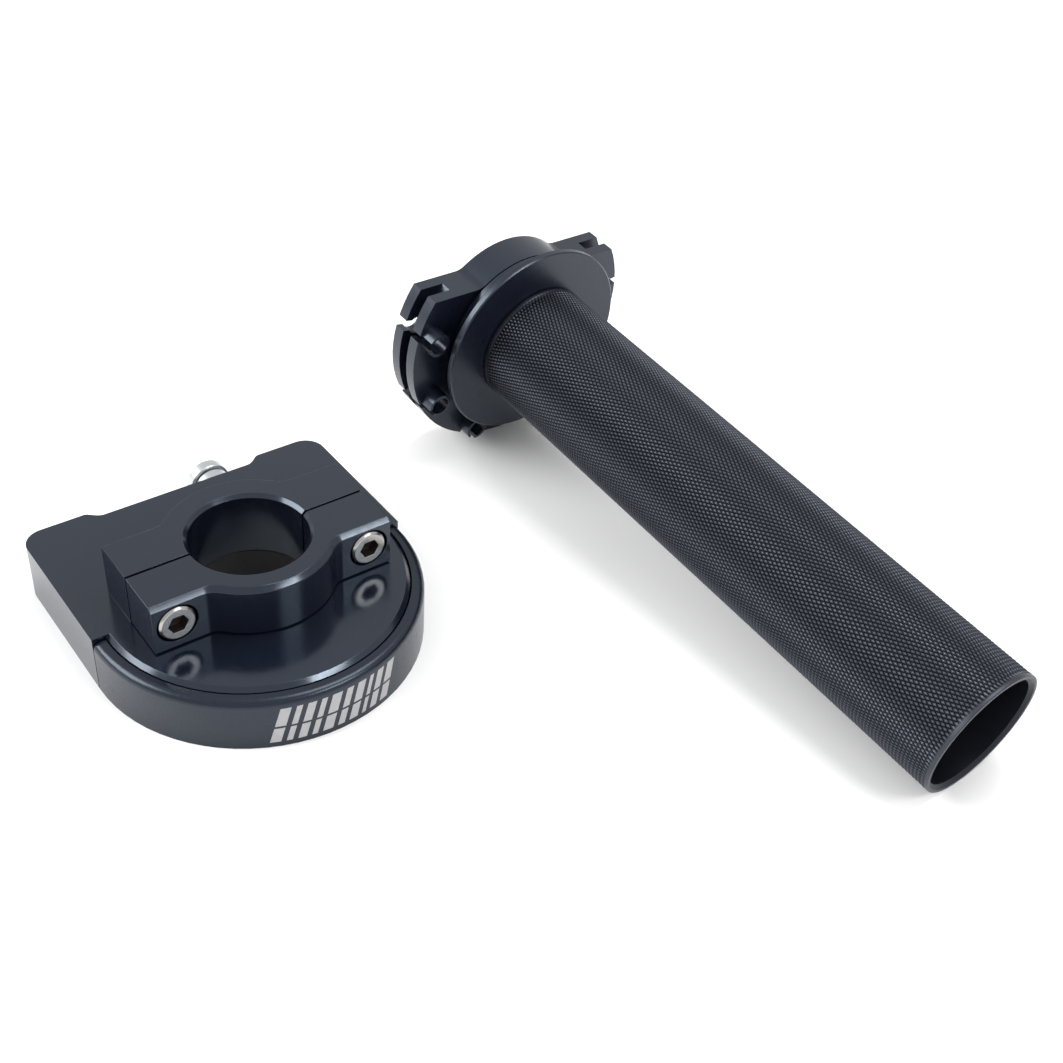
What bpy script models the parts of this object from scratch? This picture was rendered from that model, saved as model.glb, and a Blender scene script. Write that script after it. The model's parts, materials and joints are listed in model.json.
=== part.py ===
"""Twist throttle for a 22.2 mm handlebar, taken apart: the cable housing with its handlebar clamp lies
flat, and the knurled throttle tube with its cable reel lies beside it.

The frame: +Z up, z = 0 is the table, origin under the middle of the whole layout.
Each group is modelled about its own axis and hangs on an empty: the housing about the handlebar bore,
the tube assembly about the twist axis (local z runs from the reel to the grip's outer end).
"""

import math

import bpy
import bmesh
from mathutils import Matrix, Vector

MM = 0.001
GAP = 0.3  # clearance between neighbouring pieces, mm
PAST = 1.0  # how far a cutter runs past the face it opens, mm

# Fineness of round shapes, in segments of a full circle
SEG_BIG = 72
SEG_MID = 36
SEG_SMALL = 20
SEG_HIDDEN = 48  # rings that sit inside other pieces

# Layout on the table, mm and degrees
HOUSING_AT = (-37.48, 33.44)
TUBE_FROM_HOUSING = (79.0, 34.1)
TUBE_YAW = -87.5
REEL_TURN = -2.1

# Handlebar bore and housing, mm
BAR_BORE_R = 11.15
BORE_CHAMFER = 0.7
HOUSING_H = 11.9
HOUSING_R = 31.9
ARC_Y = -0.8
REAR_Y = 33.3
REAR_CORNER_R = 4.2
RECESS_DEPTH = 1.9
RECESS_INNER_X = 15.0
RECESS_OUTER_X = 18.8
SEAM_Y = -0.5
COVER_T = 2.4
COVER_ROUND = 1.5
PLATE_CHAMFER = 0.8
PLATE_R = HOUSING_R - COVER_T - GAP
PLATE_BACK_Y = 6.0
CAVITY_R = 28.2
CAVITY_TOP = 9.0

# Handlebar clamp, mm
CLAMP_H = 10.6
CLAMP_HUB_R = 16.0
WING_X = 24.1
WING_Y = 10.1
WING_FILLET = 3.5
SPLIT_GAP = 0.5
SPLIT_Y = 0.1
CAP_FRONT_CHAMFER = 0.9
CLAMP_SCREW_X = 19.4
CLAMP_SCREW_Z = HOUSING_H + 5.5
CLAMP_HEAD_R = 3.6
CLAMP_HEAD_L = 4.0
CLAMP_SHANK_R = 2.0
CLAMP_SHANK_END_Y = 8.4
CLAMP_HEX = 3.4  # across flats
CLAMP_HEAD_PROUD = 0.3

# Front cover's tongues and screws, mm
TONGUE_X = 30.6
TONGUE_START_Y = -3.0
TONGUE_Y = 17.5
TONGUE_T = 3.0
COVER_SCREW_AT = (27.9, 14.5)
COVER_HEAD_R = 1.9
COVER_HEAD_L = 1.3
COVER_SHANK_R = 1.15
COVER_SCREW_TOP = 8.0
COVER_HEX = 1.5

# Cable ports and adjuster, mm
PORT_X = 9.5
PORT_Z = 6.05
PORT_FLOOR_Y = REAR_Y - RECESS_DEPTH
NECK_R = 3.85
PORT_R = NECK_R + GAP
NECK_Y = (27.5, 36.3)
SOCKET_END_Y = 39.2
SOCKET_R = 4.35
SPIGOT_R = 2.0
SPIGOT_L = 2.3
CASING_R = 2.8
CASING_DEPTH = 1.8
CABLE_R = 1.2
O_RING = (4.55, 0.4)  # radius to the section's middle, section's radius
O_RING_SEAT = (5.25, 1.3)  # radius, depth
PLUG_HEX = 4.0

# Flanged bearing, mm
BEARING_R = 20.0
BEARING_T = 0.5
BEARING_SLEEVE_R = (11.3, 11.7)
BEARING_END = 2.5

# Throttle tube, mm
TUBE_BORE_R = 12.0
TUBE_R = 13.47
TUBE_L = 139.6
SPIGOT_TUBE_R = 12.6
SPIGOT_TUBE_L = 13.43
TUBE_EDGE = 0.15
TUBE_MOUTH_CHAMFER = 0.7
BUSH_GROOVE_R = 12.5
BUSH_AT = ((20.0, 34.0), (110.0, 124.0))
BUSH_INNER_R = 11.35

# Reel and flange, mm; local x points from the axis to the middle of the hump
REEL_R = 27.56
REEL_T = 7.7
GROOVE = (2.55, 5.11)
GROOVE_R = 23.0
CHORD_X = 13.64
HUMP_R = 18.2
HUMP_FILLET = 3.5
REEL_BORE_R = SPIGOT_TUBE_R + GAP
POCKET_ANGLES = (78.4, 118.7, 156.5, 199.3, 239.6, 279.9)  # degrees from the hump
CUPPED = 3  # how many pockets, from the first, have a raised cup
POCKET_AT = 24.4
POCKET_HOLE_R = 2.0
POCKET_SLOT_W = (2.4, 1.6)  # in the plate at the tube's far side, in the plate with the cups
POCKET_SLOT_STEP = 4.0
CUP_R = 2.65
CUP_TOP = 10.9
FLANGE_R = 21.9
FLANGE_AT = (11.86, 13.43)
FLANGE_CHAMFER = 0.25
FLANGE_HUB_AT = REEL_T + GAP

# Reel screws, mm and degrees
REEL_SCREW_RING = 16.2
REEL_SCREW_ANGLES = (60, 180, 300)
REEL_HEAD_R = 2.3
REEL_HEAD = (0.3, 2.1)
REEL_SHANK_R = 1.2
REEL_SHANK_END = 10.9
REEL_HEX = 2.0

TUBE_TILT = math.degrees(math.atan2(REEL_R - TUBE_R, TUBE_L - REEL_T))
TUBE_START_Z = TUBE_R * math.cos(math.radians(TUBE_TILT)) + TUBE_L * math.sin(math.radians(TUBE_TILT))


# ---------------------------------------------------------------- scene and placement

def clear_scene():
    for obj in list(bpy.data.objects):
        bpy.data.objects.remove(obj, do_unlink=True)


def new_collection(name):
    collection = bpy.data.collections.new(name)
    bpy.context.scene.collection.children.link(collection)
    return collection


def frame(name, matrix):
    """An empty that holds one group's axis."""
    empty = bpy.data.objects.new(name, None)
    PARTS.objects.link(empty)
    empty.matrix_world = matrix
    return empty


def material(name, color, roughness, metallic):
    made = bpy.data.materials.new(name)
    made.use_nodes = True
    shader = made.node_tree.nodes["Principled BSDF"]
    shader.inputs["Base Color"].default_value = (*color, 1.0)
    shader.inputs["Roughness"].default_value = roughness
    shader.inputs["Metallic"].default_value = metallic
    return made


def finish(obj, parent, mat, matrix=None):
    """Hangs a finished piece on its group's empty and gives it its material."""
    obj.parent = parent
    obj.matrix_local = matrix or Matrix.Identity(4)
    obj.data.materials.clear()
    obj.data.materials.append(mat)
    obj.data.shade_smooth()
    obj.data.set_sharp_from_angle(angle=math.radians(30))
    return obj


def along_y(x, z):
    """Turns a shape's local z to run along +y at (x, z)."""
    return Matrix.Translation(Vector((x, 0, z)) * MM) @ Matrix.Rotation(math.radians(-90), 4, "X")


def around_z(angle):
    return Matrix.Rotation(math.radians(angle), 4, "Z")


# ---------------------------------------------------------------- outlines, in mm

def arc(center, radius, start, end, segments):
    """Points along an arc from start to end, in degrees, both ends included."""
    steps = max(2, round(abs(end - start) / 360 * segments))
    angles = [math.radians(start + (end - start) * i / steps) for i in range(steps + 1)]
    return [(center[0] + radius * math.cos(a), center[1] + radius * math.sin(a)) for a in angles]


def mirrored(points):
    """The points followed by their mirror images across x = 0, in reverse order."""
    return points + [(-x, y) for x, y in reversed(points)]


def rear_outline():
    """The housing behind the seam: round rear corners and the recess with the cable ports."""
    corner = (HOUSING_R - REAR_CORNER_R, REAR_Y - REAR_CORNER_R)
    right = [(HOUSING_R, SEAM_Y)] + arc(corner, REAR_CORNER_R, 0, 90, SEG_MID) + recess_shoulder()
    return mirrored(right)


def plate_outline():
    """The round front of the housing's plate, running back into the rear part."""
    return [(PLATE_R, PLATE_BACK_Y), (-PLATE_R, PLATE_BACK_Y)] + arc((0, ARC_Y), PLATE_R, 180, 360, SEG_BIG)


def recess_shoulder():
    """Soft S from the rear edge down to the floor of the recess, on the right side."""
    run = RECESS_OUTER_X - RECESS_INNER_X
    steps = 8
    points = []
    for i in range(steps + 1):
        t = i / steps
        drop = RECESS_DEPTH * (1 - math.cos(math.pi * min(1.0, t * 1.15) ** 0.8)) / 2
        points.append((RECESS_OUTER_X - run * t, REAR_Y - drop))
    return points


def bow_tie_half(split_y, wing_y):
    """Half of the clamp's outline, from the split line outwards; y is positive."""
    rise = wing_y + WING_FILLET
    reach = CLAMP_HUB_R + WING_FILLET
    fillet_x = math.sqrt(reach**2 - rise**2)
    turn = math.degrees(math.atan2(rise, fillet_x))
    right = [(WING_X, split_y), (WING_X, wing_y)]
    right += arc((fillet_x, rise), WING_FILLET, 270, 180 + turn, SEG_MID)
    hub = arc((0, 0), CLAMP_HUB_R, turn, 180 - turn, SEG_BIG)
    left = [(-x, y) for x, y in reversed(right)]
    return right[:-1] + hub + left[1:]


def reel_outline():
    """Disc cut by a chord on its +x side, with the round hub standing out of the chord."""
    corner = math.degrees(math.acos(CHORD_X / REEL_R))
    fillet_x = CHORD_X + HUMP_FILLET
    fillet_y = math.sqrt((HUMP_R + HUMP_FILLET) ** 2 - fillet_x**2)
    turn = math.degrees(math.atan2(fillet_y, fillet_x))
    rim = arc((0, 0), REEL_R, corner, 360 - corner, SEG_BIG)
    lower = arc((fillet_x, -fillet_y), HUMP_FILLET, 180, 180 - turn, SEG_MID)
    hump = arc((0, 0), HUMP_R, -turn, turn, SEG_BIG)
    upper = [(x, -y) for x, y in reversed(lower)]
    return rim + lower[:-1] + hump + upper[1:]


def hexagon(across_flats):
    radius = across_flats / math.sqrt(3)
    return [(radius * math.cos(math.radians(60 * i)), radius * math.sin(math.radians(60 * i))) for i in range(6)]


# ---------------------------------------------------------------- solids

def link(obj, collection):
    collection.objects.link(obj)
    return obj


def prism(name, outline, low, high, collection=None):
    """A flat outline made thick, from z = low to z = high."""
    curve = bpy.data.curves.new(name, "CURVE")
    curve.dimensions = "2D"
    curve.fill_mode = "BOTH"
    curve.extrude = (high - low) / 2 * MM
    spline = curve.splines.new("POLY")
    spline.points.add(len(outline) - 1)
    for point, (x, y) in zip(spline.points, outline):
        point.co = (x * MM, y * MM, 0, 1)
    spline.use_cyclic_u = True
    guide = link(bpy.data.objects.new(name + "_outline", curve), bpy.context.scene.collection)
    bpy.context.view_layer.update()
    graph = bpy.context.evaluated_depsgraph_get()
    mesh = bpy.data.meshes.new_from_object(guide.evaluated_get(graph))
    bpy.data.objects.remove(guide)
    bm = bmesh.new()
    bm.from_mesh(mesh)
    bmesh.ops.remove_doubles(bm, verts=bm.verts, dist=1e-6)
    for side in (-1, 1):
        flat = [face for face in bm.faces if all(side * vertex.co.z > 0 for vertex in face.verts)]
        bmesh.ops.dissolve_faces(bm, faces=flat)
    bmesh.ops.translate(bm, verts=bm.verts, vec=(0, 0, (low + high) / 2 * MM))
    bmesh.ops.recalc_face_normals(bm, faces=bm.faces)
    bm.to_mesh(mesh)
    bm.free()
    mesh.name = name
    return link(bpy.data.objects.new(name, mesh), collection or PARTS)


def cylinder(name, radius, low, high, segments, collection=None, top_radius=None):
    """A cylinder or cone about local z, from z = low to z = high."""
    mesh = bpy.data.meshes.new(name)
    bm = bmesh.new()
    bmesh.ops.create_cone(
        bm,
        cap_ends=True,
        segments=segments,
        radius1=radius * MM,
        radius2=(radius if top_radius is None else top_radius) * MM,
        depth=(high - low) * MM,
    )
    bmesh.ops.translate(bm, verts=bm.verts, vec=(0, 0, (low + high) / 2 * MM))
    bm.to_mesh(mesh)
    bm.free()
    return link(bpy.data.objects.new(name, mesh), collection or PARTS)


def box(name, low, high, collection=None):
    mesh = bpy.data.meshes.new(name)
    bm = bmesh.new()
    bmesh.ops.create_cube(bm, size=1)
    bmesh.ops.scale(bm, verts=bm.verts, vec=[(h - l) * MM for l, h in zip(low, high)])
    bmesh.ops.translate(bm, verts=bm.verts, vec=[(h + l) / 2 * MM for l, h in zip(low, high)])
    bm.to_mesh(mesh)
    bm.free()
    return link(bpy.data.objects.new(name, mesh), collection or PARTS)


def turned(name, profile, segments, collection=None):
    """A ring turned about local z. The profile is (radius, z) points, down the outside and up the inside."""
    mesh = bpy.data.meshes.new(name)
    points = [(r * MM, 0, z * MM) for r, z in profile]
    edges = [(i, (i + 1) % len(points)) for i in range(len(points))]
    mesh.from_pydata(points, edges, [])
    obj = link(bpy.data.objects.new(name, mesh), collection or PARTS)
    screw = obj.modifiers.new("turn", "SCREW")
    screw.axis = "Z"
    screw.steps = segments
    screw.render_steps = segments
    screw.use_merge_vertices = True
    screw.merge_threshold = 1e-6
    return obj


def cutter_look(obj):
    obj.hide_render = True
    obj.display_type = "WIRE"


def boolean(obj, other, operation):
    """Adds a Boolean with another object placed in the same local frame, and hides that object."""
    if other.name not in CUTTERS.objects:
        for collection in other.users_collection:
            collection.objects.unlink(other)
        CUTTERS.objects.link(other)
    cutter_look(other)
    if other.parent is None:
        other.parent = obj
    modifier = obj.modifiers.new(f"{operation.lower()} {other.name}", "BOOLEAN")
    modifier.operation = operation
    modifier.solver = "EXACT"
    modifier.object = other
    return obj


def cut(obj, *others):
    for other in others:
        boolean(obj, other, "DIFFERENCE")
    return obj


def join(obj, *others):
    for other in others:
        boolean(obj, other, "UNION")
    return obj


def moved(obj, matrix):
    obj.matrix_local = matrix
    return obj


def bevel_edges(obj, width, segments, chosen):
    """Rounds or chamfers the edges whose two ends pass the test chosen(a, b), given in mm."""
    weights = obj.data.attributes.new("bevel_weight_edge", "FLOAT", "EDGE")
    for edge in obj.data.edges:
        a, b = (obj.data.vertices[i].co / MM for i in edge.vertices)
        weights.data[edge.index].value = 1.0 if chosen(a, b) else 0.0
    modifier = obj.modifiers.new("edge", "BEVEL")
    modifier.width = width * MM
    modifier.segments = segments
    modifier.limit_method = "WEIGHT"
    modifier.use_clamp_overlap = True
    return obj


def at_height(z):
    """Test for edges that lie at one height."""
    return lambda a, b: abs(a.z - z) < 0.01 and abs(b.z - z) < 0.01


# ---------------------------------------------------------------- housing group

def housing_body(parent, mat):
    """Housing plate and walls with the clamp's rear half in one piece."""
    body = prism("housing_body", rear_outline(), 0, HOUSING_H)
    plate = prism("front_plate", plate_outline(), 0, HOUSING_H)
    top = at_height(HOUSING_H)
    bevel_edges(plate, PLATE_CHAMFER, 1, lambda a, b: top(a, b) and min(a.y, b.y) < ARC_Y + 0.01)
    join(body, plate)
    block = prism("clamp_rear_block", bow_tie_half(SPLIT_Y + SPLIT_GAP / 2, WING_Y), HOUSING_H - 0.6, HOUSING_H + CLAMP_H)
    join(body, block)
    cut(body, cylinder("reel_cavity", CAVITY_R, -PAST, CAVITY_TOP, SEG_BIG))
    cut(body, *bore_cutters("housing"))
    for side in (-1, 1):
        cut(body, tongue_pocket(side))
        cut(body, moved(
            cylinder(f"cover_screw_hole_{side}", COVER_SHANK_R + GAP, 0, COVER_SCREW_TOP + 0.7, SEG_SMALL),
            Matrix.Translation(Vector((side * COVER_SCREW_AT[0], COVER_SCREW_AT[1], 0)) * MM),
        ))
        cut(body, moved(
            cylinder(f"clamp_thread_{side}", CLAMP_SHANK_R + GAP, -2, CLAMP_SHANK_END_Y + GAP, SEG_SMALL),
            along_y(side * CLAMP_SCREW_X, CLAMP_SCREW_Z),
        ))
        cut(body, moved(
            cylinder(f"cable_port_{side}", PORT_R, 22, REAR_Y, SEG_MID),
            along_y(side * PORT_X, PORT_Z),
        ))
    seat_r, seat_depth = O_RING_SEAT
    cut(body, moved(
        cylinder("o_ring_seat", seat_r, PORT_FLOOR_Y - seat_depth, REAR_Y, SEG_MID),
        along_y(PORT_X, PORT_Z),
    ))
    return finish(body, parent, mat)


def bore_cutters(owner):
    """Handlebar bore with its chamfered mouth."""
    top = HOUSING_H + CLAMP_H
    bore = cylinder(f"{owner}_bar_bore", BAR_BORE_R, CAVITY_TOP - PAST, top + PAST, SEG_BIG)
    mouth = cylinder(
        f"{owner}_bore_mouth",
        BAR_BORE_R - 0.1,
        top - BORE_CHAMFER - 0.1,
        top + 0.1,
        SEG_BIG,
        top_radius=BAR_BORE_R + BORE_CHAMFER + 0.1,
    )
    return bore, mouth


def tongue_outline(side):
    """Flat tongue that follows the reel's cavity on its inner side."""
    inner = CAVITY_R + GAP
    start = math.degrees(math.asin(TONGUE_START_Y / inner))
    end = math.degrees(math.asin(TONGUE_Y / inner))
    points = [(TONGUE_X, TONGUE_START_Y), (TONGUE_X, TONGUE_Y)] + arc((0, 0), inner, end, start, SEG_BIG)
    return [(side * x, y) for x, y in points][::side]


def tongue_pocket(side):
    """Room in the side wall's underside for the cover's tongue, open to the reel's cavity."""
    x_near, x_far = sorted((side * 20.0, side * (TONGUE_X + GAP)))
    low = (x_near, TONGUE_START_Y - GAP, -PAST)
    high = (x_far, TONGUE_Y + GAP, TONGUE_T + GAP)
    return box(f"tongue_pocket_{side}", low, high)


def front_cover(parent, mat):
    """U-shaped strip round the housing's front, with a screwed tongue at each end."""
    inner_r = HOUSING_R - COVER_T
    outline = arc((0, ARC_Y), HOUSING_R, 180, 360, SEG_BIG) + arc((0, ARC_Y), inner_r, 360, 180, SEG_BIG)
    top_z = HOUSING_H - PLATE_CHAMFER
    cover = prism("front_cover", outline, 0, top_z)
    top = at_height(top_z)

    def outer_top(a, b):
        middle = (a + b) / 2 - Vector((0, ARC_Y, 0))
        return top(a, b) and middle.xy.length > HOUSING_R - 0.2

    bevel_edges(cover, COVER_ROUND, 4, outer_top)
    for side in (-1, 1):
        join(cover, prism(f"tongue_{side}", tongue_outline(side), 0, TONGUE_T))
        at = Matrix.Translation(Vector((side * COVER_SCREW_AT[0], COVER_SCREW_AT[1], 0)) * MM)
        head_depth = COVER_HEAD_L + 2 * GAP
        cut(cover, moved(cylinder(f"tongue_sink_{side}", COVER_HEAD_R + GAP, -PAST, head_depth, SEG_SMALL), at))
        cut(cover, moved(cylinder(f"tongue_hole_{side}", COVER_SHANK_R + GAP, -PAST, TONGUE_T + PAST, SEG_SMALL), at))
    return finish(cover, parent, mat)


def clamp_cap(parent, mat):
    """Front half of the handlebar clamp."""
    outline = [(x, -y) for x, y in reversed(bow_tie_half(SPLIT_GAP / 2 - SPLIT_Y, WING_Y))]
    top_z = HOUSING_H + CLAMP_H
    cap = prism("clamp_cap", outline, HOUSING_H + GAP, top_z)
    top = at_height(top_z)
    bevel_edges(cap, CAP_FRONT_CHAMFER, 1, lambda a, b: top(a, b) and max(a.y, b.y) < -WING_Y + 0.1)
    cut(cap, *bore_cutters("cap"))
    sink_y = -WING_Y + CLAMP_HEAD_L - CLAMP_HEAD_PROUD + GAP
    for side in (-1, 1):
        at = along_y(side * CLAMP_SCREW_X, CLAMP_SCREW_Z)
        cut(cap, moved(cylinder(f"cap_sink_{side}", CLAMP_HEAD_R + 0.35, -WING_Y - 2, sink_y, SEG_MID), at))
        cut(cap, moved(cylinder(f"cap_hole_{side}", CLAMP_SHANK_R + GAP, -WING_Y - 2, 2, SEG_SMALL), at))
    return finish(cap, parent, mat)


def cap_screw(name, head_r, head_low, head_high, shank_r, shank_end, hexagon_size, socket_depth, segments):
    """Socket-head screw about local z with its head at the lower end."""
    edge = head_r * 0.12
    profile = [(head_r, head_high), (head_r, head_low + edge), (head_r - edge, head_low)]
    blank = cylinder(name, shank_r, head_high - 0.2, shank_end, segments)
    head = turned_solid(f"{name}_head", profile, segments)
    join(blank, head)
    socket = prism(f"{name}_socket", hexagon(hexagon_size), head_low - PAST, head_low + socket_depth)
    return cut(blank, socket)


def turned_solid(name, profile, segments):
    """A solid turned about local z: the outer profile runs from its top down, and both ends close on the axis."""
    points = [(0, profile[0][1])] + list(profile) + [(0, profile[-1][1])]
    mesh = bpy.data.meshes.new(name)
    edges = [(i, i + 1) for i in range(len(points) - 1)]
    mesh.from_pydata([(r * MM, 0, z * MM) for r, z in points], edges, [])
    obj = link(bpy.data.objects.new(name, mesh), PARTS)
    screw = obj.modifiers.new("turn", "SCREW")
    screw.axis = "Z"
    screw.steps = segments
    screw.render_steps = segments
    screw.use_merge_vertices = True
    screw.merge_threshold = 1e-6
    return obj


def clamp_screw(name, side, parent, mat):
    face = -WING_Y - CLAMP_HEAD_PROUD
    screw = cap_screw(
        name,
        CLAMP_HEAD_R,
        face,
        face + CLAMP_HEAD_L,
        CLAMP_SHANK_R,
        CLAMP_SHANK_END_Y,
        CLAMP_HEX,
        2.2,
        SEG_MID,
    )
    return finish(screw, parent, mat, along_y(side * CLAMP_SCREW_X, CLAMP_SCREW_Z))


def cover_screw(name, side, parent, mat):
    screw = cap_screw(
        name,
        COVER_HEAD_R,
        GAP,
        GAP + COVER_HEAD_L,
        COVER_SHANK_R,
        COVER_SCREW_TOP,
        COVER_HEX,
        0.8,
        SEG_SMALL,
    )
    at = Vector((side * COVER_SCREW_AT[0], COVER_SCREW_AT[1], 0)) * MM
    return finish(screw, parent, mat, Matrix.Translation(at))


def adjuster_screw(parent, mat):
    """Threaded neck of the cable adjuster, bored for the inner cable."""
    low, high = NECK_Y
    seat = high - SPIGOT_L - GAP
    profile = [(NECK_R - 0.3, high), (NECK_R, high - 0.3), (NECK_R, low + 0.3), (NECK_R - 0.3, low)]
    profile += [(CABLE_R + 0.8, low), (CABLE_R, low + 0.8), (CABLE_R, seat)]
    profile += [(SPIGOT_R + GAP, seat), (SPIGOT_R + GAP, high)]
    return finish(turned("adjuster_screw", profile, SEG_MID), parent, mat, along_y(PORT_X, PORT_Z))


def adjuster_socket(parent, mat):
    """End of the adjuster that takes the outer cable; its spigot turns freely in the neck."""
    low = NECK_Y[1] + GAP
    high = SOCKET_END_Y
    profile = [(SOCKET_R - 0.3, high), (SOCKET_R, high - 0.3), (SOCKET_R, low + 0.2), (SOCKET_R - 0.2, low)]
    profile += [(SPIGOT_R, low), (SPIGOT_R, low - SPIGOT_L), (CABLE_R, low - SPIGOT_L)]
    profile += [(CABLE_R, high - CASING_DEPTH), (CASING_R, high - CASING_DEPTH), (CASING_R, high)]
    return finish(turned("adjuster_socket", profile, SEG_MID), parent, mat, along_y(PORT_X, PORT_Z))


def adjuster_o_ring(parent, mat):
    ring_r, section_r = O_RING
    middle = PORT_FLOOR_Y - O_RING_SEAT[1] / 2
    profile = arc((ring_r, middle), section_r, 90, -225, 8)
    return finish(turned("adjuster_o_ring", profile, SEG_MID), parent, mat, along_y(PORT_X, PORT_Z))


def port_plug(parent, mat):
    """Blanking plug in the second cable port, flush with the recess."""
    low, high = NECK_Y[0], PORT_FLOOR_Y - 0.2
    plug = cylinder("port_plug", NECK_R, low, high, SEG_MID)
    cut(plug, prism("plug_hexagon", hexagon(PLUG_HEX), high - 2, high + PAST))
    return finish(plug, parent, mat, along_y(-PORT_X, PORT_Z))


def flange_bearing(parent, mat):
    """Plain bearing: its flange faces the reel and its sleeve runs between the handlebar and the tube's end."""
    inner, outer = BEARING_SLEEVE_R
    top = CAVITY_TOP - GAP
    under = top - BEARING_T
    profile = [(BEARING_R, top), (BEARING_R, under), (outer, under), (outer, BEARING_END)]
    profile += [(inner, BEARING_END), (inner, top)]
    return finish(turned("flange_bearing", profile, SEG_HIDDEN), parent, mat)


# ---------------------------------------------------------------- tube assembly

def throttle_tube(parent, mat):
    """Tube that runs on the handlebar, with a spigot for the reel and two inner grooves for bushes."""
    end = TUBE_L
    edge = TUBE_EDGE
    mouth = TUBE_MOUTH_CHAMFER
    profile = [(TUBE_R - edge, end), (TUBE_R, end - edge), (TUBE_R, SPIGOT_TUBE_L + GAP)]
    profile += [(SPIGOT_TUBE_R, SPIGOT_TUBE_L + GAP), (SPIGOT_TUBE_R, edge), (SPIGOT_TUBE_R - edge, 0)]
    profile += [(TUBE_BORE_R, 0)]
    for low, high in BUSH_AT:
        profile += [(TUBE_BORE_R, low), (BUSH_GROOVE_R, low), (BUSH_GROOVE_R, high), (TUBE_BORE_R, high)]
    profile += [(TUBE_BORE_R, end - mouth), (TUBE_BORE_R + mouth, end)]
    return finish(turned("throttle_tube", profile, SEG_BIG), parent, mat)


def liner_bush(name, span, parent, mat):
    low, high = span[0] + GAP, span[1] - GAP
    outer = BUSH_GROOVE_R - GAP
    profile = [(outer, high), (outer, low), (BUSH_INNER_R, low), (BUSH_INNER_R, high)]
    return finish(turned(name, profile, SEG_HIDDEN), parent, mat)


def tube_flange(parent, mat):
    """Flange disc with the hub that stands between it and the reel."""
    low, high = FLANGE_AT
    edge = FLANGE_CHAMFER
    profile = [(FLANGE_R - edge, high), (FLANGE_R, high - edge), (FLANGE_R, low + edge), (FLANGE_R - edge, low)]
    profile += [(HUMP_R, low), (HUMP_R, FLANGE_HUB_AT), (REEL_BORE_R, FLANGE_HUB_AT), (REEL_BORE_R, high)]
    flange = turned("tube_flange", profile, SEG_BIG)
    for angle in REEL_SCREW_ANGLES:
        hole = cylinder(f"flange_thread_{angle}", REEL_SHANK_R + GAP, FLANGE_HUB_AT - PAST, REEL_SHANK_END + GAP, SEG_SMALL)
        cut(flange, moved(hole, reel_screw_place(angle)))
    return finish(flange, parent, mat)


def reel_screw_place(angle):
    return around_z(angle) @ Matrix.Translation(Vector((REEL_SCREW_RING, 0, 0)) * MM)


def pocket_place(angle):
    return around_z(angle) @ Matrix.Translation(Vector((POCKET_AT, 0, 0)) * MM)


def cable_reel(parent, mat):
    """Exchangeable cable reel: two plates with the groove between them, and a pocket for each cable nipple."""
    reel = prism("cable_reel", reel_outline(), 0, REEL_T)
    for number, angle in enumerate(POCKET_ANGLES[:CUPPED]):
        join(reel, moved(cylinder(f"nipple_cup_{number}", CUP_R, REEL_T - 0.5, CUP_TOP, SEG_SMALL), pocket_place(angle)))
    low, high = GROOVE
    far = REEL_R + 3
    groove = turned("cable_groove", [(far, high), (far, low), (GROOVE_R, low), (GROOVE_R, high)], SEG_BIG)
    cut(reel, groove)
    for number, angle in enumerate(POCKET_ANGLES):
        hole = cylinder(f"nipple_hole_{number}", POCKET_HOLE_R, -PAST, CUP_TOP + PAST, SEG_SMALL)
        cut(reel, moved(hole, pocket_place(angle)))
        wide, narrow = (w / 2 for w in POCKET_SLOT_W)
        slot = box(f"nipple_slot_{number}", (0, -wide, -PAST), (far - POCKET_AT, wide, POCKET_SLOT_STEP))
        slit = box(f"nipple_slit_{number}", (0, -narrow, GROOVE[0]), (far - POCKET_AT, narrow, CUP_TOP + PAST))
        cut(reel, moved(slot, pocket_place(angle)), moved(slit, pocket_place(angle)))
    cut(reel, cylinder("reel_bore", REEL_BORE_R, -PAST, CUP_TOP + PAST, SEG_BIG))
    for angle in REEL_SCREW_ANGLES:
        sink = cylinder(f"reel_sink_{angle}", REEL_HEAD_R + GAP, -PAST, REEL_HEAD[1] + GAP, SEG_SMALL)
        hole = cylinder(f"reel_hole_{angle}", REEL_SHANK_R + GAP, -PAST, REEL_T + PAST, SEG_SMALL)
        cut(reel, moved(sink, reel_screw_place(angle)), moved(hole, reel_screw_place(angle)))
    return finish(reel, parent, mat)


def reel_screw(name, angle, parent, mat):
    low, high = REEL_HEAD
    screw = cap_screw(name, REEL_HEAD_R, low, high, REEL_SHANK_R, REEL_SHANK_END, REEL_HEX, 1.2, SEG_SMALL)
    return finish(screw, parent, mat, reel_screw_place(angle))


# ---------------------------------------------------------------- assembly

def housing_matrix():
    return Matrix.Translation(Vector((*HOUSING_AT, 0)) * MM)


def tube_matrix():
    """Local z along the tube from the reel outwards and down to the table, local x towards the reel's hump."""
    level = Matrix(((0, 0, 1), (0, -1, 0), (1, 0, 0))).to_4x4()
    tilt = Matrix.Rotation(math.radians(TUBE_TILT), 4, "Y")
    yaw = Matrix.Rotation(math.radians(TUBE_YAW), 4, "Z")
    start = Vector((HOUSING_AT[0] + TUBE_FROM_HOUSING[0], HOUSING_AT[1] + TUBE_FROM_HOUSING[1], TUBE_START_Z))
    return Matrix.Translation(start * MM) @ yaw @ tilt @ level @ around_z(REEL_TURN)


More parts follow.
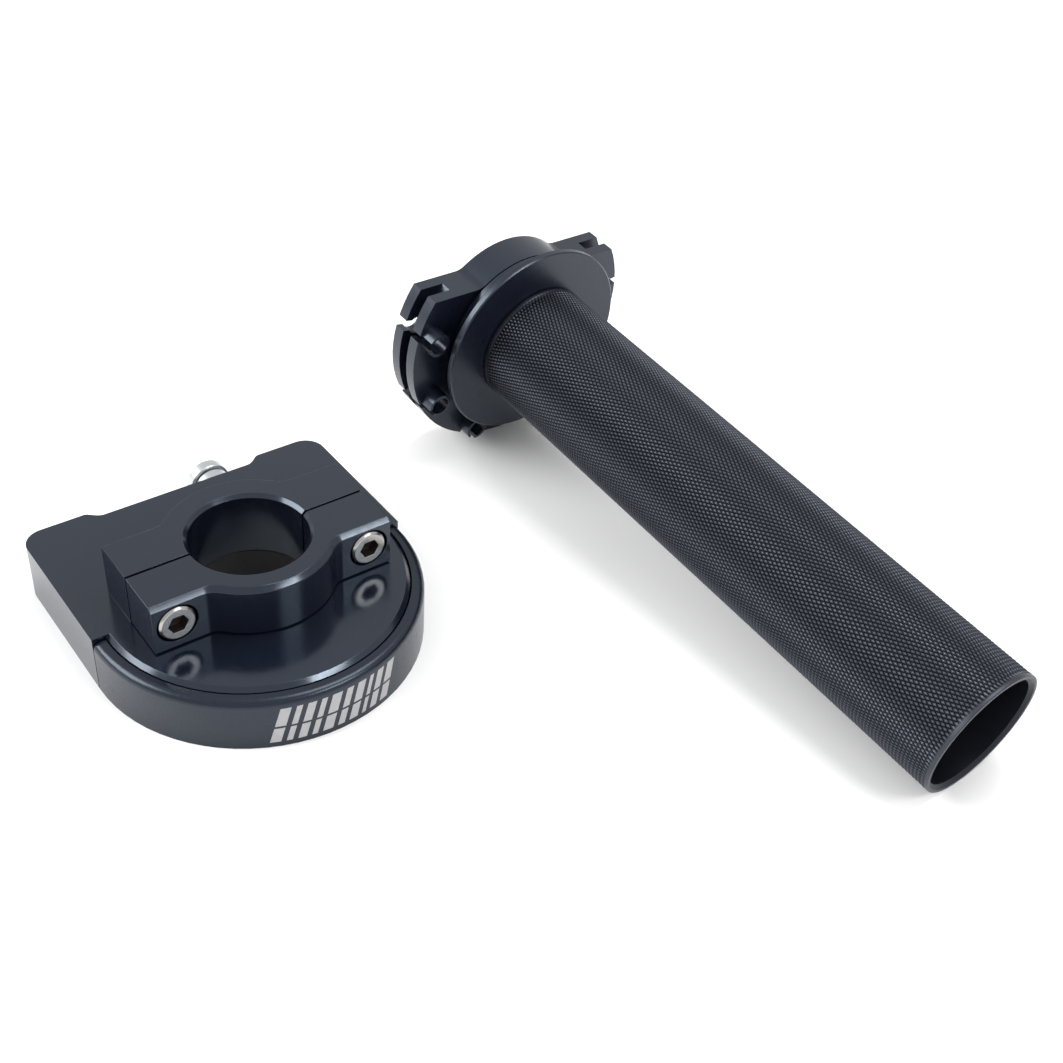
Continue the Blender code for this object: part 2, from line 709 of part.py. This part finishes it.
def build():
    satin = material("black_anodised_satin", (0.045, 0.05, 0.06), 0.42, 0.85)
    gloss = material("black_anodised_gloss", (0.03, 0.034, 0.045), 0.18, 0.85)
    knurled = material("black_anodised_knurl", (0.03, 0.032, 0.038), 0.5, 0.8)
    stainless = material("stainless_steel", (0.62, 0.61, 0.59), 0.25, 1.0)
    nickel = material("bright_nickel", (0.78, 0.8, 0.8), 0.3, 1.0)
    black_steel = material("black_oxide_steel", (0.05, 0.05, 0.05), 0.45, 0.9)
    acetal = material("black_acetal", (0.03, 0.03, 0.03), 0.5, 0.0)
    rubber = material("nitrile_rubber", (0.02, 0.02, 0.02), 0.7, 0.0)

    housing = frame("housing_frame", housing_matrix())
    housing_body(housing, gloss)
    front_cover(housing, satin)
    cover_screw("cover_screw_left", -1, housing, black_steel)
    cover_screw("cover_screw_right", 1, housing, black_steel)
    clamp_cap(housing, gloss)
    clamp_screw("clamp_screw_left", -1, housing, stainless)
    clamp_screw("clamp_screw_right", 1, housing, stainless)
    adjuster_screw(housing, nickel)
    adjuster_socket(housing, nickel)
    adjuster_o_ring(housing, rubber)
    port_plug(housing, black_steel)
    flange_bearing(housing, acetal)

    tube = frame("throttle_axis", tube_matrix())
    throttle_tube(tube, knurled)
    tube_flange(tube, satin)
    cable_reel(tube, satin)
    for number, angle in enumerate(REEL_SCREW_ANGLES, start=1):
        reel_screw(f"reel_screw_{number}", angle, tube, stainless)
    liner_bush("liner_bush_inner", BUSH_AT[0], tube, acetal)
    liner_bush("liner_bush_outer", BUSH_AT[1], tube, acetal)


clear_scene()
PARTS = new_collection("throttle_grip")
CUTTERS = new_collection("cutters")
build()
bpy.context.view_layer.update()
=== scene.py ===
"""Looks for the twist throttle: black anodised aluminium, a diamond-knurled tube, bright cable adjuster
and stainless screws, on a plain white floor."""

import json
import math

import bpy
from mathutils import Matrix, Vector


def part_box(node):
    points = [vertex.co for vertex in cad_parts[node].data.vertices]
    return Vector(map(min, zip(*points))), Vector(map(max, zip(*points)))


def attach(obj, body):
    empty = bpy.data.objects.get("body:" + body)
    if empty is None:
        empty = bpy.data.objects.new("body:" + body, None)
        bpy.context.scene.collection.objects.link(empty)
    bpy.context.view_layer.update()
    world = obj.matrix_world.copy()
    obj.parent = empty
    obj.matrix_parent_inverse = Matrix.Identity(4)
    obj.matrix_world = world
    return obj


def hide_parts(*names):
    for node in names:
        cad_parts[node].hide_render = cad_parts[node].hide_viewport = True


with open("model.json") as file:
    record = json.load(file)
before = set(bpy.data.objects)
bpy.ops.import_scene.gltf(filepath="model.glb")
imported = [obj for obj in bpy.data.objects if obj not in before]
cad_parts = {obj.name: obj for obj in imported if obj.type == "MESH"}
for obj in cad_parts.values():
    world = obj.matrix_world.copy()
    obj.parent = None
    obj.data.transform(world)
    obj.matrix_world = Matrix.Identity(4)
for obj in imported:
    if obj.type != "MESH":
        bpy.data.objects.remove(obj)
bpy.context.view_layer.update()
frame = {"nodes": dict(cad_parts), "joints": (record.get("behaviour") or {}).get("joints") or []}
nodes = frame["nodes"]

MM = 0.001

# Camera, placed from the middle of the handlebar bore on the table
CAMERA_FROM_BORE = (-91.05, -194.66, 197.6)  # mm
CAMERA_YAW = 38.96  # degrees clockwise from +Y
CAMERA_PITCH = 39.11  # degrees down
CAMERA_ROLL = 4.54  # degrees clockwise
CAMERA_LENS = 50.39  # mm, on a 36 mm sensor

# Knurl on the throttle tube
KNURL_AROUND = 106  # diamonds in one ring
KNURL_STEP = 0.8  # mm between rings of diamonds
KNURL_DEPTH = 0.25  # mm
KNURL_RING = 0.6  # mm of plain tube at each end
TUBE_EDGE = 0.15  # mm, the chamfer on the tube's outer edge
NEAR = 0.02  # mm, points this close lie on one surface
WALL_STEP = 0.2  # mm, points this far inside the outer radius belong to another surface
CLEAR = 5.0  # mm from the knurl's ends
# Painted light and shade on the knurl: tips painted light, grooves painted shade, plain tube between, inside
# of the tube painted shade
TIP_PAINTED_LIGHT, GROOVE_PAINTED_SHADE = 1.0, 0.0  # how light a point is
PLAIN_PAINTED_LIGHT, INSIDE_PAINTED_SHADE = 0.5, 0.3

# Mark on the front cover: two rows of slanted bars
MARK_ANGLES = (-114.0, -71.0)  # degrees around the cover, from +X
MARK_ROWS = ((1.2, 4.5), (5.0, 9.2))  # mm above the floor
MARK_BARS = (1.0, 0.55, 0.8, 0.55, 1.0, 0.7, 0.9, 0.45, 0.8, 1.0)  # widths, in shares of the widest
MARK_GAP = 0.5  # in the same shares
MARK_COLUMNS = 4  # points across one bar
MARK_SLANT = 2.2  # mm
MARK_SUNK = 0.1  # mm
MARK_PROUD = 0.03  # mm
COVER_CENTER_Y = -0.8  # mm from the bore's axis

# Finishes: color, roughness, metallic, grain, size of grain, bump, IOR (0 leaves it as it is)
ANODISED = (0.0042, 0.0058, 0.0125)
ANODISED_SHINE = (0.74, 0.86, 1.0)
FINISHES = {
    "anodised_gloss": (ANODISED, 0.16, 0.0, 0.1, 700, 0.04, 1.62),
    "anodised_satin": (ANODISED, 0.26, 0.0, 0.1, 1200, 0.04, 1.5),
    "anodised_cap": (ANODISED, 0.2, 0.0, 0.1, 800, 0.04, 1.6),
    "anodised_dark": (ANODISED, 0.3, 0.0, 0.1, 1200, 0.08, 1.6),
    "stainless": ((0.42, 0.41, 0.4), 0.24, 1.0, 0.06, 1500, 0.08, 0),
    # socket: painted shade for the recess of the clamp screws' hexagon sockets
    "socket": ((0.035, 0.028, 0.024), 0.45, 0.6, 0.1, 1500, 0.1, 0),
    "bright_nickel": ((0.58, 0.61, 0.63), 0.32, 1.0, 0.05, 1500, 0.08, 0),
    "black_oxide": ((0.05, 0.05, 0.05), 0.4, 0.9, 0.1, 1500, 0.1, 0),
    "black_acetal": ((0.01, 0.01, 0.012), 0.5, 0.0, 0.1, 900, 0.05, 0),
    "nitrile": ((0.015, 0.015, 0.015), 0.65, 0.0, 0.1, 900, 0.1, 0),
    "knurl": ((0.1, 0.1, 0.1), 0.42, 0.9, 0.0, 900, 0.0, 0),
    "etched_mark": ((0.36, 0.36, 0.37), 0.6, 0.0, 0.15, 900, 0.0, 0),
    "floor": ((0.9, 0.9, 0.9), 0.9, 0.0, 0.0, 900, 0.0, 0),
}
ROUGHNESS_SPREAD = 0.06
BUMP_HEIGHT = 0.02  # mm
# Painted shade in the knurl's grooves and painted light on its tips
KNURL_PAINTED_SHADE_AND_LIGHT = ((0.15, (0.006, 0.008, 0.013)), (0.9, (0.1, 0.108, 0.128)))  # grooves, tips
SCREWS = ("clamp_screw_left", "clamp_screw_right")
REEL_SCREWS = ("reel_screw_1", "reel_screw_2", "reel_screw_3")
WORN_BY = {
    "anodised_gloss": ("housing_body",),
    "anodised_satin": ("front_cover",),
    "anodised_cap": ("clamp_cap",),
    "anodised_dark": ("tube_flange", "cable_reel"),
    "stainless": SCREWS + REEL_SCREWS,
    "bright_nickel": ("adjuster_screw", "adjuster_socket"),
    "black_oxide": ("cover_screw_left", "cover_screw_right", "port_plug"),
    "black_acetal": ("flange_bearing", "liner_bush_inner", "liner_bush_outer", "throttle_tube"),
    "nitrile": ("adjuster_o_ring",),
}

# Hexagon sockets of the clamp screws, mm: the faces inside get painted shade
SOCKET_FROM = 0.05
SOCKET_DEEP = 3.0
SOCKET_R = 2.05

# Rounded edges, mm and degrees
EDGES = {
    "housing_body": 0.16,
    "front_cover": 0.2,
    "clamp_cap": 0.3,
    "clamp_screw_left": 0.12,
    "clamp_screw_right": 0.12,
    "tube_flange": 0.12,
    "cable_reel": 0.15,
    "adjuster_screw": 0.1,
    "adjuster_socket": 0.1,
}
OTHER_EDGE = 0.08
WELD = 0.002
FLAT_ANGLE = 0.6
EDGE_ANGLE = 28

# Lights: place in metres, size in metres, watts
SOFTBOXES = {
    "key": ((-0.55, 0.35, 0.45), (0.5, 0.4), 5.0),
    "top": ((0.25, -0.05, 0.8), (0.4, 0.4), 3.0),
    "front": ((0.16, -0.42, 0.42), (0.24, 0.08), 1.0),
}
SKY = 0.85
FLOOR_SIZE = 6


def middle(node):
    low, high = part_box(node)
    return (low + high) / 2


BORE = middle("flange_bearing").xy


# ---------------------------------------------------------------- materials

def surface(name):
    """Principled material whose roughness, color and height vary with fine noise."""
    color, roughness, metallic, grain, grain_scale, bump, ior = FINISHES[name]
    mat = bpy.data.materials.new(name)
    mat.use_nodes = True
    tree = mat.node_tree
    shader = tree.nodes["Principled BSDF"]
    shader.inputs["Base Color"].default_value = (*color, 1)
    shader.inputs["Metallic"].default_value = metallic
    if ior:
        shader.inputs["IOR"].default_value = ior
        shader.inputs["Specular Tint"].default_value = (*ANODISED_SHINE, 1)
    place = tree.nodes.new("ShaderNodeTexCoord")
    noise = tree.nodes.new("ShaderNodeTexNoise")
    noise.inputs["Scale"].default_value = grain_scale
    noise.inputs["Detail"].default_value = 3.0
    tree.links.new(place.outputs["Object"], noise.inputs["Vector"])
    level = tree.nodes.new("ShaderNodeMapRange")
    level.inputs["To Min"].default_value = roughness - ROUGHNESS_SPREAD
    level.inputs["To Max"].default_value = roughness + ROUGHNESS_SPREAD
    tree.links.new(noise.outputs["Fac"], level.inputs["Value"])
    tree.links.new(level.outputs["Result"], shader.inputs["Roughness"])
    if grain:
        tint = tree.nodes.new("ShaderNodeMix")
        tint.data_type = "RGBA"
        tint.inputs["A"].default_value = (*(c * (1 - grain) for c in color), 1)
        tint.inputs["B"].default_value = (*(min(1, c * (1 + grain)) for c in color), 1)
        tree.links.new(noise.outputs["Fac"], tint.inputs["Factor"])
        tree.links.new(tint.outputs["Result"], shader.inputs["Base Color"])
    if bump:
        height = tree.nodes.new("ShaderNodeBump")
        height.inputs["Strength"].default_value = bump
        height.inputs["Distance"].default_value = BUMP_HEIGHT * MM
        tree.links.new(noise.outputs["Fac"], height.inputs["Height"])
        tree.links.new(height.outputs["Normal"], shader.inputs["Normal"])
    return mat


def knurl_surface():
    """Painted light on the tips over painted shade in the grooves, from the height stored on the knurl."""
    mat = surface("knurl")
    tree = mat.node_tree
    shader = tree.nodes["Principled BSDF"]
    # the stored height is the painted light and shade of each point
    height = tree.nodes.new("ShaderNodeAttribute")
    height.attribute_name = "height"
    ramp = tree.nodes.new("ShaderNodeValToRGB")
    for stop, (place, color) in zip(ramp.color_ramp.elements, KNURL_PAINTED_SHADE_AND_LIGHT):
        stop.position = place
        stop.color = (*color, 1)
    tree.links.new(height.outputs["Fac"], ramp.inputs["Fac"])
    tree.links.new(ramp.outputs["Color"], shader.inputs["Base Color"])
    return mat


def dress():
    for finish, names in WORN_BY.items():
        mat = surface(finish)
        for name in names:
            nodes[name].data.materials.clear()
            nodes[name].data.materials.append(mat)
    # painted shade for the clamp screws' hexagon sockets
    socket = surface("socket")
    for name in SCREWS:
        paint_socket_shade(nodes[name], socket)


def paint_socket_shade(screw, mat):
    """Painted shade on the hexagon socket's own faces, in the head at the screw's low-y end."""
    low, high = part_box(screw.name)
    axis = (low + high) / 2
    screw.data.materials.append(mat)
    for face in screw.data.polygons:
        spot = face.center
        depth = (spot.y - low.y) / MM
        off = math.hypot(spot.x - axis.x, spot.z - axis.z) / MM
        if SOCKET_FROM < depth < SOCKET_DEEP and off < SOCKET_R:
            face.material_index = 1


def soften():
    """Small rounded edges and smooth shading on the machined pieces."""
    for name, obj in nodes.items():
        for face in obj.data.polygons:
            face.use_smooth = True
        weld = obj.modifiers.new("weld", "WELD")
        weld.merge_threshold = WELD * MM
        flat = obj.modifiers.new("flat", "DECIMATE")
        flat.decimate_type = "DISSOLVE"
        flat.angle_limit = math.radians(FLAT_ANGLE)
        edge = obj.modifiers.new("edge", "BEVEL")
        edge.width = EDGES.get(name, OTHER_EDGE) * MM
        edge.segments = 2
        edge.limit_method = "ANGLE"
        edge.angle_limit = math.radians(EDGE_ANGLE)
        edge.use_clamp_overlap = True
        normals = obj.modifiers.new("normals", "WEIGHTED_NORMAL")
        normals.mode = "FACE_AREA"


# ---------------------------------------------------------------- knurled tube

def ring_mesh(name, rings, around, matrix):
    """Closed surface through rings of points.

    A ring is (z, radii, painted light levels), with one radius and one painted light level for its even points
    and one for its odd ones; the levels are stored as the point attribute height.
    """
    points = []
    painted_light_levels = []
    for z, radii, levels in rings:
        for j in range(around):
            angle = math.tau * j / around
            radius = radii[j % 2] * MM
            points.append(matrix @ Vector((radius * math.cos(angle), radius * math.sin(angle), z * MM)))
            painted_light_levels.append(levels[j % 2])
    faces = []
    count = len(rings)
    for k in range(count):
        after = (k + 1) % count
        for j in range(around):
            right = (j + 1) % around
            a, b = k * around + j, k * around + right
            c, d = after * around + right, after * around + j
            if painted_light_levels[a] + painted_light_levels[c] < painted_light_levels[b] + painted_light_levels[d]:
                faces += [(a, b, c), (a, c, d)]
            elif painted_light_levels[a] + painted_light_levels[c] > painted_light_levels[b] + painted_light_levels[d]:
                faces += [(a, b, d), (b, c, d)]
            else:
                faces.append((a, b, c, d))
    mesh = bpy.data.meshes.new(name)
    mesh.from_pydata(points, [], faces)
    # painted light and shade per point, stored under the name height
    stored = mesh.attributes.new("height", "FLOAT", "POINT")
    stored.data.foreach_set("value", painted_light_levels)
    mesh.update()
    obj = bpy.data.objects.new(name, mesh)
    bpy.context.scene.collection.objects.link(obj)
    return obj


def knurled_tube():
    joint = next(j for j in frame["joints"] if j["name"] == "throttle_twist")
    start = Vector(joint["pos_m"])
    axis = Vector(joint["axis"]).normalized()
    matrix = Matrix.Translation(start) @ axis.to_track_quat("Z", "Y").to_matrix().to_4x4()
    profile = []
    for vertex in nodes["throttle_tube"].data.vertices:
        local = matrix.inverted() @ vertex.co / MM
        profile.append((local.z, math.hypot(local.x, local.y)))
    outer = max(r for z, r in profile)
    bore = min(r for z, r in profile)
    end = max(z for z, r in profile)
    shoulder = min(z for z, r in profile if r > outer - NEAR)
    spigot = max(r for z, r in profile if z < shoulder - CLEAR)
    inner = [(z, r) for z, r in profile if r < outer - WALL_STEP]
    groove = max(r for z, r in inner if shoulder + CLEAR < z < end - CLEAR)
    stops = sorted({round(z, 2) for z, r in profile if abs(r - groove) < NEAR and z > shoulder})
    mouth = max(r for z, r in inner if z > end - NEAR)
    # painted light on the plain tube, painted shade inside it
    plain = (PLAIN_PAINTED_LIGHT, PLAIN_PAINTED_LIGHT)
    inside = (INSIDE_PAINTED_SHADE, INSIDE_PAINTED_SHADE)
    rings = [(shoulder, (outer, outer), plain), (shoulder + KNURL_RING, (outer, outer), plain)]
    rows = int((end - shoulder - 2 * KNURL_RING) / KNURL_STEP)
    first = (shoulder + end - (rows - 1) * KNURL_STEP) / 2
    for k in range(rows):
        tips, valleys = (outer, TIP_PAINTED_LIGHT), (outer - KNURL_DEPTH, GROOVE_PAINTED_SHADE)
        even, odd = (tips, valleys) if k % 2 == 0 else (valleys, tips)
        rings.append((first + k * KNURL_STEP, (even[0], odd[0]), (even[1], odd[1])))
    outline = [(end - KNURL_RING, outer), (end - TUBE_EDGE, outer), (end, outer - TUBE_EDGE), (end, mouth)]
    outline += [(end - (mouth - bore), bore)]
    for low, high in reversed(list(zip(stops[::2], stops[1::2]))):
        outline += [(high, bore), (high, groove), (low, groove), (low, bore)]
    outline += [(0, bore), (0, spigot), (shoulder, spigot)]
    for z, r in outline:
        shown = r > outer - WALL_STEP and z > shoulder
        rings.append((z, (r, r), plain if shown else inside))
    tube = ring_mesh("knurled_tube", rings, 2 * KNURL_AROUND, matrix)
    tube.data.materials.append(knurl_surface())
    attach(tube, "throttle")
    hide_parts("throttle_tube")


# ---------------------------------------------------------------- mark on the cover

def cover_mark():
    low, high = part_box("front_cover")
    center = Vector((BORE.x, BORE.y + COVER_CENTER_Y * MM, 0))
    radius = (high.x - low.x) / 2
    foot, head = MARK_ROWS[0][0], MARK_ROWS[-1][1]
    start, end = (math.radians(a) for a in MARK_ANGLES)
    unit = (end - start) / (sum(MARK_BARS) + MARK_GAP * (len(MARK_BARS) - 1))
    points = []
    faces = []
    for bottom, top in MARK_ROWS:
        angle = start
        for width in MARK_BARS:
            base = len(points)
            for column in range(MARK_COLUMNS):
                turn = angle + unit * width * column / (MARK_COLUMNS - 1)
                for z in (bottom, top):
                    slant = MARK_SLANT * MM / radius * (z - foot) / (head - foot)
                    for r in (radius - MARK_SUNK * MM, radius + MARK_PROUD * MM):
                        direction = Vector((math.cos(turn + slant), math.sin(turn + slant), 0))
                        points.append(center + direction * r + Vector((0, 0, z * MM)))
            for column in range(MARK_COLUMNS - 1):
                a = base + 4 * column
                b = a + 4
                faces += [(a + 1, b + 1, b + 3, a + 3), (b, a, a + 2, b + 2)]
                faces += [(a, b, b + 1, a + 1), (a + 3, b + 3, b + 2, a + 2)]
            last = base + 4 * (MARK_COLUMNS - 1)
            faces += [(base, base + 1, base + 3, base + 2), (last + 1, last, last + 2, last + 3)]
            angle += unit * (width + MARK_GAP)
    mesh = bpy.data.meshes.new("cover_mark")
    mesh.from_pydata(points, [], faces)
    mesh.update()
    mark = bpy.data.objects.new("cover_mark", mesh)
    bpy.context.scene.collection.objects.link(mark)
    mesh.materials.append(surface("etched_mark"))
    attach(mark, "housing")


# ---------------------------------------------------------------- stage

def camera():
    data = bpy.data.cameras.new("camera")
    data.lens = CAMERA_LENS
    data.sensor_width = 36
    data.clip_end = 10
    obj = bpy.data.objects.new("camera", data)
    bpy.context.scene.collection.objects.link(obj)
    yaw, pitch, roll = (math.radians(a) for a in (CAMERA_YAW, CAMERA_PITCH, CAMERA_ROLL))
    forward = Vector((math.sin(yaw) * math.cos(pitch), math.cos(yaw) * math.cos(pitch), -math.sin(pitch)))
    level = Vector((math.cos(yaw), -math.sin(yaw), 0))
    above = level.cross(forward)
    right = math.cos(roll) * level + math.sin(roll) * above
    up = -math.sin(roll) * level + math.cos(roll) * above
    rotation = Matrix((right, up, -forward)).transposed()
    place = Vector((BORE.x, BORE.y, 0)) + Vector(CAMERA_FROM_BORE) * MM
    obj.matrix_world = Matrix.Translation(place) @ rotation.to_4x4()
    bpy.context.scene.camera = obj


def floor():
    bpy.ops.mesh.primitive_plane_add(size=FLOOR_SIZE)
    plane = bpy.context.object
    plane.name = "floor"
    plane.data.materials.append(surface("floor"))


def softbox(name, place, size, power):
    """Rectangular light that faces the middle of the floor."""
    data = bpy.data.lights.new(name, "AREA")
    data.shape = "RECTANGLE"
    data.size, data.size_y = size
    data.energy = power
    obj = bpy.data.objects.new(name, data)
    bpy.context.scene.collection.objects.link(obj)
    turn = (-Vector(place)).to_track_quat("-Z", "Y").to_matrix().to_4x4()
    obj.matrix_world = Matrix.Translation(Vector(place)) @ turn


def lights():
    world = bpy.data.worlds.new("world")
    bpy.context.scene.world = world
    world.use_nodes = True
    background = world.node_tree.nodes["Background"]
    background.inputs[0].default_value = (1, 1, 1, 1)
    background.inputs[1].default_value = SKY
    for name, (place, size, power) in SOFTBOXES.items():
        softbox(name, place, size, power)


dress()
soften()
knurled_tube()
cover_mark()
floor()
lights()
camera()
bpy.context.scene.view_settings.view_transform = "Standard"
